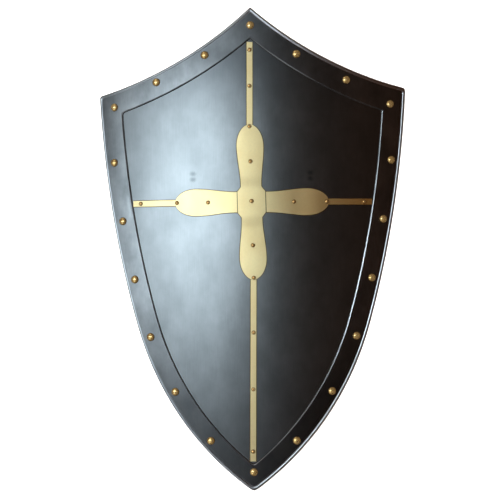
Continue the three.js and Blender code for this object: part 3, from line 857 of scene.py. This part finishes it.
def parted_evenly(places, steps, last_step):
    """Places that part a run of points evenly, but for a last step that is this share of the others."""
    lengths = [0.0]
    for here, there in zip(places, places[1:]):
        lengths.append(lengths[-1] + (there - here).length)
    step = lengths[-1] / (steps - 1 + last_step)
    found = []
    for goal in spread(step, step * (steps - 1), steps - 2):
        i = next(k for k, length in enumerate(lengths) if length > goal)
        found.append(places[i - 1].lerp(places[i], (goal - lengths[i - 1]) / (lengths[i] - lengths[i - 1])))
    return found


def band_rivet_places():
    line = half_outline(1, RIVET_LINE_INSET)
    tip = Vector((0, TIP_ALONG - TIP_RIVET_INSET))
    toe = Vector((0, TOE_ALONG + TOE_RIVET_INSET))
    shoulder = Vector((SHOULDER_ACROSS - SHOULDER_RIVET_INSET, SHOULDER_ALONG - SHOULDER_RIVET_BELOW))
    scoop = arc_places(line["scoop"], line["tip"], line["shoulder"], RIVET_LINE_STEPS)
    flank = arc_places(FLANK_CENTRE, line["shoulder"], line["belly"], RIVET_LINE_STEPS)
    lower = arc_places(TOE_CENTRE, line["belly"], line["toe"], RIVET_LINE_STEPS)[1:]
    side = [place for place in flank + lower if toe.y < place.y < shoulder.y]
    right = parted_evenly(scoop, SCOOP_RIVET_STEPS, 1) + [shoulder]
    right += parted_evenly([shoulder] + side + [toe], SIDE_RIVET_STEPS, TOE_RIVET_STEP)
    left = [Vector((-place.x, place.y)) for place in reversed(right)]
    return [(place.x, place.y, GAP + STEEL) for place in [tip] + right + [toe] + left]


def strap_rivets(line, tip_rivet, from_end, between):
    """Rivets of a strap past the one at the arm's tip: the last is this far from its end."""
    start, end = line
    last = end - (end - start).normalized() * from_end
    return [tip_rivet.lerp(last, part) for part in between] + [last]


def cross_rivet_places(lines):
    one = GAP + BRASS
    two = 2 * one
    up = [(CENTRE_RIVET_UP, two), (ARM_RIVETED_UP, one), (-ARM_RIVETED_DOWN, one)]
    out = [(ARM_RIVETED_RIGHT, one), (-ARM_RIVETED_LEFT, one)]
    found = [(along_arm(UPRIGHT_WAY, reach), seat) for reach, seat in up]
    found += [(along_arm(LEVEL_WAY, reach), seat) for reach, seat in out]
    ends = [
        ("strap_top", UPRIGHT_WAY, 1, TOP_STRAP_RIVETS),
        ("strap_toe", UPRIGHT_WAY, -1, TOE_STRAP_RIVETS),
        ("strap_right", LEVEL_WAY, 1, SIDE_STRAP_RIVETS),
        ("strap_left", LEVEL_WAY, -1, SIDE_STRAP_RIVETS),
    ]
    for name, way, side, (from_end, between) in ends:
        tip_rivet = along_arm(way, side * ARM_TIP_RIVETED)
        found.append((tip_rivet, two))
        found += [(place, one) for place in strap_rivets(lines[name], tip_rivet, from_end, between)]
    return [(place.x, place.y, seat) for place, seat in found]


# Grip on the back
def grip_path():
    """Middle of the bent bar, seen along the shield, from one weld to the other."""
    first = GRIP_HALF_SPAN / BEND_RADIUS
    radius = BEND_RADIUS - STEEL - GAP
    start = Vector((radius * math.sin(first), radius * math.cos(first) - BEND_RADIUS))
    down = Vector((-math.sin(first), -math.cos(first)))
    bar = -GRIP_DROP + GRIP_THICKNESS / 2
    knee = start + down * ((start.y - bar) / -down.y)
    before, after = knee - down * GRIP_BEND, knee - Vector((GRIP_BEND, 0))
    bend = [before] + corner_places(before, knee, after, GRIP_BEND_STEPS) + [after]
    right = [start.lerp(before, part) for part in spread(0, 1, GRIP_LEG_STEPS)][:-1] + bend
    return right + [Vector((-p.x, p.y)) for p in reversed(right)]


def grip_bar():
    path = grip_path()
    wide, thick = GRIP_WIDTH / 2 - GRIP_ROUNDING, GRIP_THICKNESS / 2 - GRIP_ROUNDING
    section = []
    for sx, sz, turn in ((1, 1, 0), (-1, 1, 90), (-1, -1, 180), (1, -1, 270)):
        for a in spread(math.radians(turn), math.radians(turn + 90), GRIP_CORNER_STEPS):
            along, out = sx * wide + GRIP_ROUNDING * math.cos(a), sz * thick + GRIP_ROUNDING * math.sin(a)
            section.append((along, out))
    flats, points = [], []
    for i, place in enumerate(path):
        way = (path[min(i + 1, len(path) - 1)] - path[max(i - 1, 0)]).normalized()
        for along, out in section:
            x, z = place.x - way.y * out, place.y + way.x * out
            points.append(own_place(x, GRIP_ALONG + along, z))
            flats.append((x, along, z))
    piece = new_mesh("grip_bar", flats, loft_faces(len(path), len(section), False), bar_steel, points)
    sharpen(piece, 40)
    dress(piece, "steel_bar", "back_grip")


def grip_welds():
    """A beaded weld round each end of the bar, where it stands on the back of the plate."""
    flats, faces = [], []
    around, beads, sides = 96, 26, 8
    wide, thick = GRIP_WIDTH / 2, GRIP_THICKNESS / 2
    for side in (1, -1):
        base = len(flats)
        for i in range(around):
            turn = 2 * math.pi * i / around
            fat = BEAD_RADIUS + BEAD_SWELL * abs(math.sin(turn * beads / 2))
            out = Vector((math.cos(turn) * (thick + BEAD_OUTSIDE), math.sin(turn) * (wide + BEAD_OUTSIDE)))
            middle = Vector((side * GRIP_HALF_SPAN, GRIP_ALONG)) + out
            for k in range(sides):
                a = 2 * math.pi * k / sides
                edge = middle + out.normalized() * fat * math.cos(a)
                deep = STEEL + BEAD_GAP + fat * (1 + math.sin(a)) * BEAD_FLATTENED
                flats.append((edge.x, edge.y, -deep))
        for i in range(around):
            here, there = base + i * sides, base + (i + 1) % around * sides
            for k in range(sides):
                m = (k + 1) % sides
                faces.append((here + k, there + k, there + m, here + m))
    piece = new_mesh("grip_welds", flats, faces, bar_steel)
    dress(piece, "steel_bar", "back_grip")


# Camera at the photograph's angle: straight at the face, a little from the right, the shield leaning left
VIEW_DISTANCE = 2.0
SENSOR_WIDTH = 36
PICTURE_PIXELS = 500
SHIELD_PIXELS = 484.7
PIXEL_SIZE = SHIELD_LENGTH / SHIELD_PIXELS
VIEW_YAW = math.radians(2.0)
VIEW_ROLL = math.radians(0.5)
AIM_ACROSS = -0.003
AIM_ALONG = -0.001


def add_camera():
    camera = bpy.data.cameras.new("view")
    camera.sensor_width = SENSOR_WIDTH
    camera.lens = SENSOR_WIDTH * VIEW_DISTANCE / PIXEL_SIZE / PICTURE_PIXELS
    back = ACROSS_AXIS * math.sin(VIEW_YAW) + FACE_AXIS * math.cos(VIEW_YAW)
    level = ACROSS_AXIS * math.cos(VIEW_YAW) - FACE_AXIS * math.sin(VIEW_YAW)
    right = level * math.cos(VIEW_ROLL) - ALONG_AXIS * math.sin(VIEW_ROLL)
    up = level * math.sin(VIEW_ROLL) + ALONG_AXIS * math.cos(VIEW_ROLL)
    turn = Matrix((right, up, back)).transposed().to_4x4()
    turn.translation = own_place(AIM_ACROSS, AIM_ALONG, 0) + back * VIEW_DISTANCE
    eye = bpy.data.objects.new("view", camera)
    eye.matrix_world = turn
    bpy.context.scene.collection.objects.link(eye)
    bpy.context.scene.camera = eye


def softbox(name, place, size, power, colour, glossy=True):
    """A soft light facing the shield; its size is given along the shield and square to that."""
    light = bpy.data.lights.new(name, "AREA")
    light.shape = "ELLIPSE"
    light.size, light.size_y = size
    light.energy = power
    light.color = colour
    lamp = bpy.data.objects.new(name, light)
    outward = Vector(place).normalized()
    sideways = ALONG_AXIS.cross(outward).normalized()
    upward = outward.cross(sideways)
    lamp.matrix_world = Matrix((upward, -sideways, outward)).transposed().to_4x4()
    lamp.matrix_world.translation = place
    lamp.visible_glossy = glossy
    bpy.context.scene.collection.objects.link(lamp)


COOL_WHITE = (0.80, 0.92, 1.0)
WARM_WHITE = (1.0, 0.96, 0.92)
ROOM_TONE = (1.0, 0.46, 0.24)
ROOM_STRENGTH = 0.043


def add_lights():
    softbox("key_core", (-0.92, 0.01, 1.92), (0.50, 1.40), 7.2, COOL_WHITE)
    softbox("key_soft", (-0.92, 0.00, 1.91), (0.72, 2.05), 10.8, COOL_WHITE)
    softbox("left_side", (-1.75, -0.05, 1.40), (0.7, 0.8), 2.8, COOL_WHITE)
    softbox("upper_left", (-1.0, 1.7, 1.2), (1.1, 1.2), 3.5, WARM_WHITE)
    softbox("lower_left", (-1.2, -1.4, 1.2), (1.1, 1.2), 4.5, (0.90, 0.96, 1.0))
    softbox("floor_fill", (0, 0, 3.0), (3, 3), 300, WARM_WHITE, glossy=False)
    world = bpy.data.worlds.new("studio")
    world.use_nodes = True
    background = world.node_tree.nodes["Background"]
    background.inputs["Color"].default_value = (*ROOM_TONE, 1)
    background.inputs["Strength"].default_value = ROOM_STRENGTH
    bpy.context.scene.world = world


FLOOR_SIZE = 12.0


def add_floor():
    material, shader = start_material("pale_floor")
    shader.inputs["Base Color"].default_value = (0.9, 0.9, 0.9, 1)
    shader.inputs["Roughness"].default_value = 0.8
    mesh = bpy.data.meshes.new("floor")
    half = FLOOR_SIZE / 2
    corners = [(-half, -half, 0), (half, -half, 0), (half, half, 0), (-half, half, 0)]
    mesh.from_pydata(corners, [], [(0, 1, 2, 3)])
    mesh.materials.append(material)
    floor = bpy.data.objects.new("floor", mesh)
    floor.visible_glossy = False
    bpy.context.scene.collection.objects.link(floor)


add_camera()
face_plate()
border_band()
seam_line()
cross_plates()
strap_runs = strap_lines()
straps(strap_runs)
band_nodes = [f"band_rivet_{i:02d}" for i in range(1, 21)]
cross_nodes = [f"cross_rivet_{i:02d}" for i in range(1, 17)]
rivets("band_rivet_heads", band_nodes, BAND_RIVET, band_rivet_places(), rivet_brass)
rivets("cross_rivet_heads", cross_nodes, CROSS_RIVET, cross_rivet_places(strap_runs), dull_brass)
grip_bar()
grip_welds()
add_floor()
add_lights()

scene = bpy.context.scene
scene.view_settings.view_transform = "Standard"
